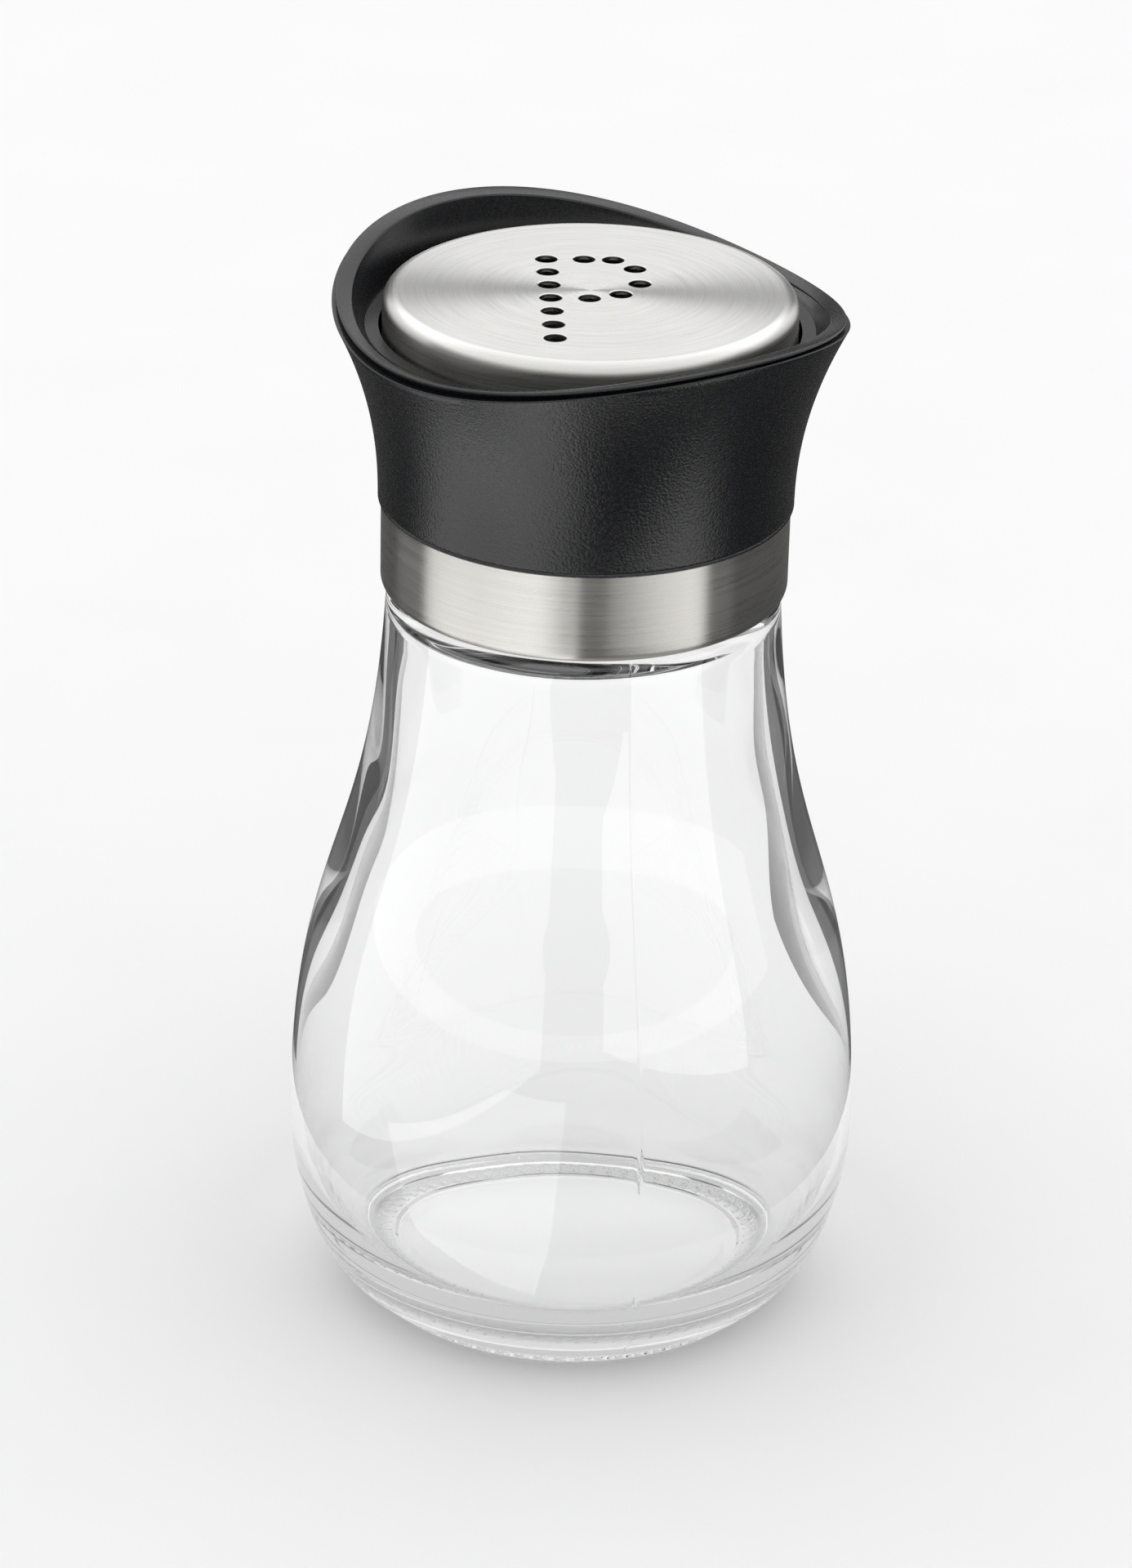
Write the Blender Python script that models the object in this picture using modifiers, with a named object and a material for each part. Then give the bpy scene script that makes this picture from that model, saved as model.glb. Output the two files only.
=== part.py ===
"""Pepper shaker: a clear pear-shaped glass jar with a screw-on sprinkler cap.

Metres, +Z up. The origin is the middle of the jar's foot, on the surface it stands on.
The jar stays put. The cap (steel cap, collar, liner and seal) turns about Z and climbs on the neck's thread.
"""
import math

import bmesh
import bpy
from mathutils import Matrix, Vector
from mathutils.geometry import interpolate_bezier

MM = 0.001
TURN_STEPS = 48
CURVE_POINTS = 9
ARC_STEPS = 4
FLARE_STEPS = 8
MERGE_DISTANCE = 0.00001

# Clearances
FIT_GAP = 0.3 * MM
THREAD_GAP = 0.4 * MM
SHOULDER_GAP = 0.35 * MM

# Jar body, outside
FOOT_RADIUS = 24.8 * MM
FOOT_EDGE = 0.8 * MM
HEEL_HEIGHT = 1.8 * MM
HEEL_STEP = 0.4 * MM
HEEL_HANDLE = 4.2 * MM
BELLY_RADIUS = 32.1 * MM
BELLY_HEIGHT = 18.8 * MM
BELLY_HANDLE_DOWN = 5.0 * MM
BELLY_HANDLE_UP = 33.4 * MM
SHOULDER_HEIGHT = 85.0 * MM
SHOULDER_INSET = 0.6 * MM
SHOULDER_ROUND = 1.4 * MM
SHOULDER_FLARE = 1.8 * MM
SHOULDER_HANDLE = 33.4 * MM
BEARING_WIDTH = 3.2 * MM
PUNT_RISE = 0.6 * MM

# Jar body, inside: thinnest at the belly, with a short shoulder under the neck
BELLY_WALL = 1.6 * MM
FLOOR_HEIGHT = 2.6 * MM
FLOOR_ROUND = 7.8 * MM
FLOOR_HANDLE = 9.0 * MM
FLOOR_HANDLE_UP = 7.0 * MM
INNER_BELLY_HANDLE = 20.0 * MM
SHOULDER_WALL = 2.4 * MM
SHOULDER_ROOF = 2.2 * MM
INNER_SHOULDER_ROUND = 1.3 * MM
INNER_SHOULDER_FLARE = 2.5 * MM
INNER_SHOULDER_HANDLE = 34.0 * MM

# Neck
NECK_RADIUS = 17.4 * MM
NECK_HEIGHT = 11.5 * MM
NECK_WALL = 2.4 * MM
RIM_ROUND = 0.6 * MM

# Thread, right-handed, one start
THREAD_PITCH = 4.233 * MM
THREAD_DEPTH = 1.15 * MM
THREAD_ROOT_WIDTH = 2.2 * MM
THREAD_CREST_WIDTH = 1.0 * MM
THREAD_SINK = 0.5 * MM
THREAD_FIRST_HEIGHT = 2.6 * MM
NECK_THREAD_TURNS = 1.25
LINER_THREAD_TURNS = 0.875

# Steel cap
STEEL = 0.5 * MM
CAP_HEIGHT = 33.55 * MM
CAP_EDGE = 1.5 * MM
HEM_ROUND = 1.0 * MM
HEM_WIDTH = 1.3 * MM

# Sprinkle holes, dots along the strokes of a P; the bowl's steps right and down are in hole spacings
HOLE_RADIUS = 1.2 * MM
HOLE_SPACING = 3.95 * MM
HOLE_SIDES = 16
STEM_HOLES = 7
STEM_OFFSET = 4.4 * MM
STEM_TOP = 9.6 * MM
BOWL_STEPS = ((1.03, 0), (1.82, 0.05), (2.38, 0.75), (2.45, 1.9), (1.9, 2.72), (1.04, 3.02))
PATTERN_TURN = math.radians(3)

# Liner and seal
LINER_THREAD_WALL = 2.45 * MM
LINER_WALL = 1.6 * MM
SEAL_SEAT = 1.5 * MM
SEAL_THICKNESS = 1.0 * MM

# Collar
COLLAR_FOOT = 10.0 * MM
COLLAR_FOOT_WALL = 0.4 * MM
LIP_FLARE = 4.6 * MM
LIP_DROP = 0.6 * MM
LIP_STEP = 0.9 * MM
LIP_LEDGE = 0.35 * MM
LIP_EDGE = 0.3 * MM
LIP_WAVE = 2.3 * MM
LIP_WAVE_ANGLE = math.radians(126)
LIP_TILT = 0.95 * MM
LIP_TILT_ANGLE = math.radians(129)
DISH_DEPTH = 3.9 * MM
DISH_FLOOR = 1.7 * MM
DISH_SLOPE = 0.5

# Places that follow from the sizes above; cap pieces are measured up from the cap's seat
RIM_HEIGHT = SHOULDER_HEIGHT + NECK_HEIGHT
NECK_BORE = NECK_RADIUS - NECK_WALL
LINER_BORE = NECK_RADIUS + THREAD_DEPTH + THREAD_GAP
LINER_RADIUS = LINER_BORE + LINER_THREAD_WALL
CAP_RADIUS = LINER_RADIUS + FIT_GAP + STEEL
COLLAR_BORE = CAP_RADIUS + FIT_GAP
COLLAR_FOOT_RADIUS = COLLAR_BORE + COLLAR_FOOT_WALL
SHOULDER_RADIUS = CAP_RADIUS - SHOULDER_INSET
CAP_SEAT = SHOULDER_HEIGHT + SHOULDER_GAP
SEAL_BOTTOM = RIM_HEIGHT + FIT_GAP - CAP_SEAT
SEAL_TOP = SEAL_BOTTOM + SEAL_THICKNESS
LINER_THREAD_FIRST = SHOULDER_HEIGHT + THREAD_FIRST_HEIGHT + THREAD_PITCH / 2 - CAP_SEAT

for leftover in list(bpy.data.objects):
    bpy.data.objects.remove(leftover, do_unlink=True)

PARTS = bpy.data.collections.new("pepper_shaker")
CUTTERS = bpy.data.collections.new("cutters")
for group in (PARTS, CUTTERS):
    bpy.context.scene.collection.children.link(group)


# Outlines are lists of (radius, height) points

def bezier(start, start_handle, end_handle, end):
    knots = [Vector((r, 0, z)) for r, z in (start, start_handle, end_handle, end)]
    return [(point.x, point.z) for point in interpolate_bezier(*knots, CURVE_POINTS)]


def arc(centre, radius, start_degrees, end_degrees):
    points = []
    for index in range(ARC_STEPS + 1):
        angle = math.radians(start_degrees + (end_degrees - start_degrees) * index / ARC_STEPS)
        points.append((centre[0] + radius * math.cos(angle), centre[1] + radius * math.sin(angle)))
    return points


def joined(*stretches):
    """One outline from stretches in order, with points that coincide kept once."""
    outline = []
    for stretch in stretches:
        for point in stretch:
            if not outline or math.dist(outline[-1], point) > MERGE_DISTANCE:
                outline.append(point)
    return outline


# Objects

def material(name, colour, roughness, metallic=0.0, transmission=0.0):
    finish = bpy.data.materials.new(name)
    finish.use_nodes = True
    surface = finish.node_tree.nodes["Principled BSDF"]
    surface.inputs["Base Color"].default_value = (*colour, 1.0)
    surface.inputs["Roughness"].default_value = roughness
    surface.inputs["Metallic"].default_value = metallic
    surface.inputs["Transmission Weight"].default_value = transmission
    return finish


def add_part(name, mesh, finish, parent=None):
    part = bpy.data.objects.new(name, mesh)
    mesh.materials.append(finish)
    PARTS.objects.link(part)
    part.parent = parent
    return part


def add_cutter(name, shape, parent=None):
    mesh = bpy.data.meshes.new(name)
    bmesh.ops.recalc_face_normals(shape, faces=shape.faces)
    shape.to_mesh(mesh)
    shape.free()
    cutter = bpy.data.objects.new(name, mesh)
    CUTTERS.objects.link(cutter)
    cutter.hide_render = True
    cutter.display_type = "WIRE"
    cutter.parent = parent
    return cutter


def combine(part, cutter, operation):
    change = part.modifiers.new(cutter.name, "BOOLEAN")
    change.operation = operation
    change.solver = "EXACT"
    change.object = cutter


def turned(name, outline, finish, parent=None, closed=False):
    """Spins an outline that runs down its outer side about Z; a closed one makes a ring."""
    count = len(outline)
    edges = [(index, index + 1) for index in range(count - 1)]
    if closed:
        edges.append((count - 1, 0))
    mesh = bpy.data.meshes.new(name)
    mesh.from_pydata([(r, 0, z) for r, z in outline], edges, [])
    part = add_part(name, mesh, finish, parent)
    spin = part.modifiers.new("turn", "SCREW")
    spin.axis = "Z"
    spin.steps = TURN_STEPS
    spin.render_steps = TURN_STEPS
    spin.use_merge_vertices = True
    spin.merge_threshold = MERGE_DISTANCE
    spin.use_smooth_shade = True
    return part


def thread_ridge(name, wall_radius, outward, first_height, turns, parent=None):
    """Helical ridge rooted in a round wall; outward is 1 on a neck and -1 in a bore."""
    sunk_width = THREAD_ROOT_WIDTH + (THREAD_ROOT_WIDTH - THREAD_CREST_WIDTH) * THREAD_SINK / THREAD_DEPTH
    sunk = wall_radius - outward * THREAD_SINK
    crest = wall_radius + outward * THREAD_DEPTH
    section = [
        (sunk, -sunk_width / 2),
        (crest, -THREAD_CREST_WIDTH / 2),
        (crest, THREAD_CREST_WIDTH / 2),
        (sunk, sunk_width / 2),
    ]
    shape = bmesh.new()
    face = shape.faces.new([shape.verts.new((r, 0, first_height + z)) for r, z in section])
    bmesh.ops.spin(
        shape,
        geom=[face, *face.edges, *face.verts],
        cent=(0, 0, 0),
        axis=(0, 0, 1),
        dvec=(0, 0, THREAD_PITCH / TURN_STEPS),
        angle=2 * math.pi * turns,
        steps=round(turns * TURN_STEPS),
    )
    return add_cutter(name, shape, parent)


# The glass jar

def jar_cavity():
    floor_radius = FOOT_RADIUS - FLOOR_ROUND
    inner_belly = BELLY_RADIUS - BELLY_WALL
    floor = bezier(
        (floor_radius, FLOOR_HEIGHT),
        (floor_radius + FLOOR_HANDLE, FLOOR_HEIGHT),
        (inner_belly, BELLY_HEIGHT - FLOOR_HANDLE_UP),
        (inner_belly, BELLY_HEIGHT),
    )
    inner_shoulder = SHOULDER_RADIUS - SHOULDER_WALL
    roof = SHOULDER_HEIGHT - SHOULDER_ROOF
    round_centre = (inner_shoulder - INNER_SHOULDER_ROUND, roof - INNER_SHOULDER_ROUND)
    wall = bezier(
        (inner_belly, BELLY_HEIGHT),
        (inner_belly, BELLY_HEIGHT + INNER_BELLY_HANDLE),
        (inner_shoulder + INNER_SHOULDER_FLARE, round_centre[1] - INNER_SHOULDER_HANDLE),
        (inner_shoulder, round_centre[1]),
    )
    shoulder = arc(round_centre, INNER_SHOULDER_ROUND, 0, 90)
    neck_foot = [(NECK_BORE + SHOULDER_ROOF / 2, roof), (NECK_BORE, roof + SHOULDER_ROOF / 2)]
    return joined([(0, FLOOR_HEIGHT)], floor, wall, shoulder, neck_foot)


def jar_outside():
    rim = joined(
        arc((NECK_BORE + RIM_ROUND, RIM_HEIGHT - RIM_ROUND), RIM_ROUND, 180, 90),
        arc((NECK_RADIUS - RIM_ROUND, RIM_HEIGHT - RIM_ROUND), RIM_ROUND, 90, 0),
    )
    shoulder_centre = (SHOULDER_RADIUS - SHOULDER_ROUND, SHOULDER_HEIGHT - SHOULDER_ROUND)
    shoulder = [(NECK_RADIUS, SHOULDER_HEIGHT)] + arc(shoulder_centre, SHOULDER_ROUND, 90, 0)
    side_top = SHOULDER_HEIGHT - SHOULDER_ROUND
    side = bezier(
        (SHOULDER_RADIUS, side_top),
        (SHOULDER_RADIUS + SHOULDER_FLARE, side_top - SHOULDER_HANDLE),
        (BELLY_RADIUS, BELLY_HEIGHT + BELLY_HANDLE_UP),
        (BELLY_RADIUS, BELLY_HEIGHT),
    )
    heel = bezier(
        (BELLY_RADIUS, BELLY_HEIGHT),
        (BELLY_RADIUS, BELLY_HEIGHT - BELLY_HANDLE_DOWN),
        (FOOT_RADIUS + HEEL_STEP + HEEL_HANDLE, HEEL_HEIGHT),
        (FOOT_RADIUS + HEEL_STEP, HEEL_HEIGHT),
    )
    foot_edge_radius = FOOT_RADIUS - FOOT_EDGE
    foot = [(FOOT_RADIUS, HEEL_HEIGHT - HEEL_STEP)] + arc((foot_edge_radius, FOOT_EDGE), FOOT_EDGE, 0, -90)
    bearing_inside = foot_edge_radius - BEARING_WIDTH
    underside = [(bearing_inside, 0), (bearing_inside - PUNT_RISE, PUNT_RISE), (0, PUNT_RISE)]
    return joined(rim, shoulder, side, heel, foot, underside)


def make_jar():
    glass = material("clear_glass", (0.95, 0.96, 0.95), 0.02, transmission=1.0)
    jar = turned("glass_jar", joined(jar_cavity(), jar_outside()), glass)
    first_height = SHOULDER_HEIGHT + THREAD_FIRST_HEIGHT
    ridge = thread_ridge("neck_thread", NECK_RADIUS, 1, first_height, NECK_THREAD_TURNS)
    combine(jar, ridge, "UNION")


# The steel cap with its sprinkle holes

def hole_places():
    """Middles of the holes: a straight stem, and a bowl to the right of its upper half."""
    stem = [(0, index) for index in range(STEM_HOLES)]
    steps = [*stem, *BOWL_STEPS]
    return [(right * HOLE_SPACING - STEM_OFFSET, STEM_TOP - down * HOLE_SPACING) for right, down in steps]


def hole_cutter(parent):
    shape = bmesh.new()
    pattern = Matrix.Rotation(PATTERN_TURN, 4, "Z")
    for x, y in hole_places():
        bmesh.ops.create_cone(
            shape,
            cap_ends=True,
            segments=HOLE_SIDES,
            radius1=HOLE_RADIUS,
            radius2=HOLE_RADIUS,
            depth=4 * STEEL,
            matrix=pattern @ Matrix.Translation((x, y, CAP_HEIGHT - STEEL / 2)),
        )
    return add_cutter("sprinkle_holes", shape, parent)


def make_steel_cap(parent):
    steel = material("brushed_steel", (0.62, 0.61, 0.58), 0.32, metallic=1.0)
    edge_centre = (CAP_RADIUS - CAP_EDGE, CAP_HEIGHT - CAP_EDGE)
    hem_centre = (CAP_RADIUS - HEM_ROUND, HEM_ROUND)
    outline = joined(
        [(0, CAP_HEIGHT)],
        arc(edge_centre, CAP_EDGE, 90, 0),
        arc(hem_centre, HEM_ROUND, 0, -90),
        [(CAP_RADIUS - HEM_WIDTH, 0), (CAP_RADIUS - HEM_WIDTH, STEEL)],
        arc(hem_centre, HEM_ROUND - STEEL, -90, 0),
        arc(edge_centre, CAP_EDGE - STEEL, 0, 90),
        [(0, CAP_HEIGHT - STEEL)],
    )
    cap = turned("steel_cap", outline, steel, parent)
    combine(cap, hole_cutter(parent), "DIFFERENCE")


# Pieces inside the steel cap

def make_liner(parent):
    plastic = material("liner_plastic", (0.03, 0.03, 0.032), 0.45)
    edge_centre = (CAP_RADIUS - CAP_EDGE, CAP_HEIGHT - CAP_EDGE)
    seat = SEAL_TOP + FIT_GAP
    outline = joined(
        arc(edge_centre, CAP_EDGE - STEEL - FIT_GAP, 90, 0),
        [
            (LINER_RADIUS, STEEL + FIT_GAP),
            (LINER_BORE, STEEL + FIT_GAP),
            (LINER_BORE, seat),
            (NECK_BORE, seat),
            (NECK_BORE, seat + SEAL_SEAT),
            (LINER_RADIUS - LINER_WALL, seat + SEAL_SEAT),
            (LINER_RADIUS - LINER_WALL, CAP_HEIGHT - STEEL - FIT_GAP),
        ],
    )
    liner = turned("threaded_liner", outline, plastic, parent, closed=True)
    ridge = thread_ridge("liner_thread", LINER_BORE, -1, LINER_THREAD_FIRST, LINER_THREAD_TURNS, parent)
    combine(liner, ridge, "UNION")


def make_seal(parent):
    rubber = material("white_silicone", (0.80, 0.80, 0.78), 0.6)
    inside = NECK_BORE + FIT_GAP
    outside = LINER_BORE - FIT_GAP
    outline = [(outside, SEAL_TOP), (outside, SEAL_BOTTOM), (inside, SEAL_BOTTOM), (inside, SEAL_TOP)]
    turned("seal_ring", outline, rubber, parent, closed=True)


# The black collar

def lip_height(angle):
    """The lip rises and falls twice round the collar, higher at the back left than at the front right."""
    wave = LIP_WAVE * math.cos(2 * (angle - LIP_WAVE_ANGLE))
    tilt = LIP_TILT * math.cos(angle - LIP_TILT_ANGLE)
    return CAP_HEIGHT - LIP_DROP + wave + tilt


def flare_radius(height):
    """The collar's outside: upright at its foot, then opening out like a bell."""
    ledge_height = CAP_HEIGHT - LIP_DROP - LIP_STEP
    rise = (height - COLLAR_FOOT) / (ledge_height - COLLAR_FOOT)
    return COLLAR_FOOT_RADIUS + LIP_FLARE * rise ** 2


def dish_radius(height):
    """The collar's inner wall, leaning out from the dish's floor."""
    floor_height = CAP_HEIGHT - DISH_DEPTH
    return COLLAR_BORE + DISH_FLOOR + DISH_SLOPE * (height - floor_height)


def collar_section(angle):
    """Cross-section of the collar at one angle, down its outer side and up its bore."""
    lip = lip_height(angle)
    ledge = lip - LIP_STEP
    floor_height = CAP_HEIGHT - DISH_DEPTH
    step_radius = flare_radius(ledge) - LIP_LEDGE
    flare = []
    for index in range(FLARE_STEPS + 1):
        height = ledge + (COLLAR_FOOT - ledge) * index / FLARE_STEPS
        flare.append((flare_radius(height), height))
    return [
        (dish_radius(lip) + LIP_EDGE, lip),
        (step_radius - LIP_EDGE, lip),
        (step_radius, lip - LIP_EDGE),
        (step_radius, ledge),
        *flare,
        (COLLAR_BORE, COLLAR_FOOT),
        (COLLAR_BORE, floor_height),
        (dish_radius(floor_height), floor_height),
        (dish_radius(lip - LIP_EDGE), lip - LIP_EDGE),
    ]


def make_collar(parent):
    """A loft of cross-sections, because the lip's height changes round the ring."""
    plastic = material("black_plastic", (0.03, 0.03, 0.032), 0.5)
    shape = bmesh.new()
    rings = []
    for step in range(TURN_STEPS):
        angle = 2 * math.pi * step / TURN_STEPS
        cos, sin = math.cos(angle), math.sin(angle)
        rings.append([shape.verts.new((r * cos, r * sin, z)) for r, z in collar_section(angle)])
    for here, there in zip(rings, rings[1:] + rings[:1]):
        for index in range(len(here)):
            after = (index + 1) % len(here)
            shape.faces.new((here[index], here[after], there[after], there[index]))
    mesh = bpy.data.meshes.new("collar")
    shape.to_mesh(mesh)
    shape.free()
    mesh.shade_smooth()
    add_part("collar", mesh, plastic, parent)


cap_axis = bpy.data.objects.new("cap_axis", None)
cap_axis.location = (0, 0, CAP_SEAT)
PARTS.objects.link(cap_axis)

make_jar()
make_steel_cap(cap_axis)
make_liner(cap_axis)
make_seal(cap_axis)
make_collar(cap_axis)
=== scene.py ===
"""Looks of the pepper shaker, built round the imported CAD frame.

Metres in the CAD's frame: +Z up, the foot stands on z = 0 and -Y faces the camera.
The jar, the steel cap and the collar are rebuilt smooth; the seal and the liner keep their CAD meshes.
"""
import math

import bmesh
import bpy
from mathutils import Matrix, Vector
from mathutils.geometry import interpolate_bezier


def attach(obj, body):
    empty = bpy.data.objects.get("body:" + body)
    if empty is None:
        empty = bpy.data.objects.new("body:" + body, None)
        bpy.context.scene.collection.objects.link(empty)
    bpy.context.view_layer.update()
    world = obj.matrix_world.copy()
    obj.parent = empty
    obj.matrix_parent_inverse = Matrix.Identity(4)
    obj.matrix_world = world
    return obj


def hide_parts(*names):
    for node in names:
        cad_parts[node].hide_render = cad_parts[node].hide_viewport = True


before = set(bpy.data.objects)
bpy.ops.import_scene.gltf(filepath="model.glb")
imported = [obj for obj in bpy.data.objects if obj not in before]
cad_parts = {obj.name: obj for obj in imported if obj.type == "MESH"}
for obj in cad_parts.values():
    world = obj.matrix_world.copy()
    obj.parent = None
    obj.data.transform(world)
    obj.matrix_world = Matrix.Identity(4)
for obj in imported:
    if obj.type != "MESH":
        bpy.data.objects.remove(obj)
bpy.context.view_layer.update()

MM = 0.001
FULL_TURN = 2 * math.pi
WHITE = (1, 1, 1, 1)

# Mesh density
TURN_STEPS = 240
CURVE_POINTS = 32
ARC_STEPS = 8
SAME_POINT = 0.001 * MM

# Jar, with the CAD's sizes; the neck's root and the thread's ends are softened in the looks only
FOOT_RADIUS = 24.8 * MM
FOOT_EDGE = 0.8 * MM
HEEL_HEIGHT = 1.8 * MM
HEEL_STEP = 0.4 * MM
HEEL_HANDLE = 4.2 * MM
BELLY_RADIUS = 32.1 * MM
BELLY_HEIGHT = 18.8 * MM
BELLY_HANDLE_DOWN = 5.0 * MM
BELLY_HANDLE_UP = 33.4 * MM
SHOULDER_HEIGHT = 85.0 * MM
SHOULDER_RADIUS = 21.6 * MM
SHOULDER_ROUND = 1.4 * MM
SHOULDER_FLARE = 1.8 * MM
SHOULDER_HANDLE = 33.4 * MM
BELLY_WALL = 1.6 * MM
FLOOR_HEIGHT = 2.6 * MM
FLOOR_ROUND = 7.8 * MM
FLOOR_HANDLE = 9.0 * MM
FLOOR_HANDLE_UP = 7.0 * MM
FLOOR_FAN_SHARE = 0.25
FLOOR_RINGS = 6
INNER_BELLY_HANDLE = 20.0 * MM
NECK_RADIUS = 17.4 * MM
NECK_BORE = 15.0 * MM
NECK_HEIGHT = 11.5 * MM
NECK_RINGS = 40
SHOULDER_WALL = 2.4 * MM
SHOULDER_ROOF = 2.2 * MM
INNER_SHOULDER_ROUND = 1.3 * MM
INNER_SHOULDER_FLARE = 2.5 * MM
INNER_SHOULDER_HANDLE = 34.0 * MM
NECK_ROOT_ROUND = 0.5 * MM
RIM_ROUND = 0.6 * MM
THREAD_PITCH = 4.233 * MM
THREAD_DEPTH = 1.15 * MM
THREAD_ROOT_WIDTH = 2.2 * MM
THREAD_CREST_WIDTH = 1.0 * MM
THREAD_FIRST_HEIGHT = 2.6 * MM
THREAD_TURNS = 1.25
THREAD_FADE = math.radians(14)

# Ring of crescent ridges under the jar, and the shallow hollow inside it
BEARING_INSIDE = 20.8 * MM
BEARING_RINGS = 20
KNURLS = 66
KNURL_STEPS = 11
KNURL_HEIGHT = 0.28 * MM
KNURL_HALF_WIDTH = 0.34 * MM
KNURL_RADIUS = 1.7 * MM
KNURL_CENTRE_ACROSS = 0.55 * KNURL_RADIUS
KNURL_CENTRE_ALONG = -0.5 * KNURL_RADIUS
KNURL_FIRST_ANGLE = math.radians(85)
KNURL_LAST_ANGLE = math.radians(178)
PUNT_RISE = 0.6 * MM
PUNT_EDGE = 0.3 * MM
PUNT_STEP = 0.2 * MM
PUNT_HANDLE = 2.4 * MM
PUNT_FAN_RADIUS = 2 * MM
PUNT_POINTS = 14

# Faint mould seams; the closer steps beside them are in seam widths
SEAM_ANGLE = math.radians(-76)
SEAM_HEIGHT = 0.05 * MM
SEAM_WIDTH = 0.16 * MM
SEAM_STEPS = (-2.4, -1.6, -1, -0.5, 0, 0.5, 1, 1.6, 2.4)

# Uneven inside of the glass; a wave is its share, lobes round the jar, climb for one radian, and start
RIPPLE = 0.03 * MM
RIPPLE_EXTRA = 0.03 * MM
RIPPLE_EXTRA_HEIGHT = 70 * MM
RIPPLE_EXTRA_REACH = 14 * MM
RIPPLE_ENDS = (80 * MM, 86 * MM)
RIPPLE_WAVES = ((1.0, 3, 9 * MM, 0.0), (0.7, 5, -5 * MM, 1.3), (0.5, 9, 3.5 * MM, 0.4))
SAG_ANGLE = math.radians(225)
SAG_SIDE = 0.4 * MM
SAG_LIFT = 0.15 * MM
SAG_REACH = 12 * MM

# Steel cap, with the CAD's sizes; the holes' edges are rounded in the looks only
CAP_SEAT = 85.35 * MM
CAP_RADIUS = 22.2 * MM
CAP_HEIGHT = 33.55 * MM
CAP_TOP = CAP_SEAT + CAP_HEIGHT
CAP_EDGE = 1.5 * MM
STEEL = 0.5 * MM
SKIRT_RINGS = 24
HEM_ROUND = 1.0 * MM
HEM_WIDTH = 1.3 * MM
HOLE_RADIUS = 1.2 * MM
HOLE_EDGE = 0.12 * MM
HOLE_EDGE_STEPS = 5
HOLE_STEPS = 32

# Places of the holes: a stem, and a bowl whose steps right and down are in hole spacings
HOLE_SPACING = 3.95 * MM
STEM_HOLES = 7
STEM_OFFSET = 4.4 * MM
STEM_TOP = 9.6 * MM
BOWL_STEPS = ((1.03, 0), (1.82, 0.05), (2.38, 0.75), (2.45, 1.9), (1.9, 2.72), (1.04, 3.02))
PATTERN_TURN = math.radians(3)

# Collar, after the CAD's but with a slimmer foot; a WAVE is how far a size swings, twice in a turn
COLLAR_FOOT = 95.35 * MM
COLLAR_FOOT_RADIUS = 22.55 * MM
COLLAR_FOOT_BORE = 22.26 * MM
COLLAR_BORE = 22.6 * MM
BORE_RAMP = 2.0 * MM
COLLAR_EDGE = 0.12 * MM
COLLAR_EDGE_STEPS = 4
FLARE_POWER = 2.1
FLARE_POINTS = 30
FOOT_BEAD = 0.55 * MM
BEAD_STEPS = 8
GROOVE_HEIGHT = 0.4 * MM
GROOVE_WIDTH = 0.1 * MM
GROOVE_DEPTH = 0.12 * MM
WAVE_ANGLE = math.radians(126)
TILT = 0.95 * MM
TILT_ANGLE = math.radians(129)
LEDGE_RADIUS = 27.74 * MM
LEDGE_RADIUS_WAVE = 0.5 * MM
LEDGE_HEIGHT = 117.62 * MM
LEDGE_HEIGHT_WAVE = 2.5 * MM
LEDGE_STEPS = 2
STEP_RADIUS = 27.36 * MM
STEP_RADIUS_WAVE = 0.65 * MM
STEP_UNDERCUT = 0.42 * MM
UNDERCUT_STEPS = 3
LIP_HEIGHT = 118.35 * MM
LIP_HEIGHT_WAVE = 2.3 * MM
LIP_INSIDE = 25.49 * MM
LIP_INSIDE_WAVE = 0.37 * MM
LIP_FALL = 0.3 * MM
LIP_ROUND = 0.25 * MM
LIP_ROUND_STEPS = 5
DISH_FLOOR_HEIGHT = 115.0 * MM
DISH_FLOOR_RADIUS = 24.3 * MM
DISH_ROUND = 0.25 * MM
DISH_WALL_STEPS = 6
SHARP_ANGLE = math.radians(38)

# Noise in the materials: the stretch of it that is used, and the share of the finer of two noises
NOISE_SPAN = (0.3, 0.7)
FINE_SHARE = 0.6

# Glass
GLASS_CLOUDS = 40.0
GLASS_TINTS = ((0.985, 0.99, 0.987), (0.995, 0.998, 0.996))
GLASS_IOR = 1.5

# Painted glow in the glass, standing in for the light of rays that are still inside it after the
# renderer's last reflection; KNURL_SHADE is painted shade of that glow at the ring of ridges
LAST_REFLECTION = 4.5
TRAPPED_LIGHT_LOW = 0.6
TRAPPED_LIGHT_HIGH = 0.12
TRAPPED_LOW_UNTIL = 25 * MM
TRAPPED_HIGH_FROM = 45 * MM
KNURL_SHADE = 0.35
KNURL_SHADE_SPAN = (2.0 * MM, 3.0 * MM)

# Brushed steel; the fine and the broad noise are a scale and a detail, and the turn is in turns
# The top's tints are paler than the side's as painted light; TOP_COLOUR_SPAN sets how far that paler top
# runs down the rounded edge
STEEL_SIDE_TINTS = ((0.46, 0.45, 0.426), (0.56, 0.549, 0.523))
STEEL_TOP_TINTS = ((0.80, 0.795, 0.775), (0.92, 0.915, 0.895))
STEEL_ROUGHNESS = (0.26, 0.32)
STEEL_ANISOTROPY = 0.95
BRUSH_TURN = 0.25
# Painted shade on the steel's side inside the collar
SKIRT_SHADE = 0.6
# Painted shade in the holes' walls and under the disc
HOLE_SHADE = 0.25
TOP_COLOUR_SPAN = (0.9 * CAP_EDGE, 0.1 * CAP_EDGE)
BRUSH_LINES = 4000.0
BRUSH_FINE = (3.0, 3.0)
BRUSH_BROAD = (0.8, 2.0)
BRUSH_SPAN = (0.35, 0.65)
BRUSH_BUMP = 0.25
BRUSH_DEPTH = 0.02 * MM
AXIS_ROOM = 0.01 * MM

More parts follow.
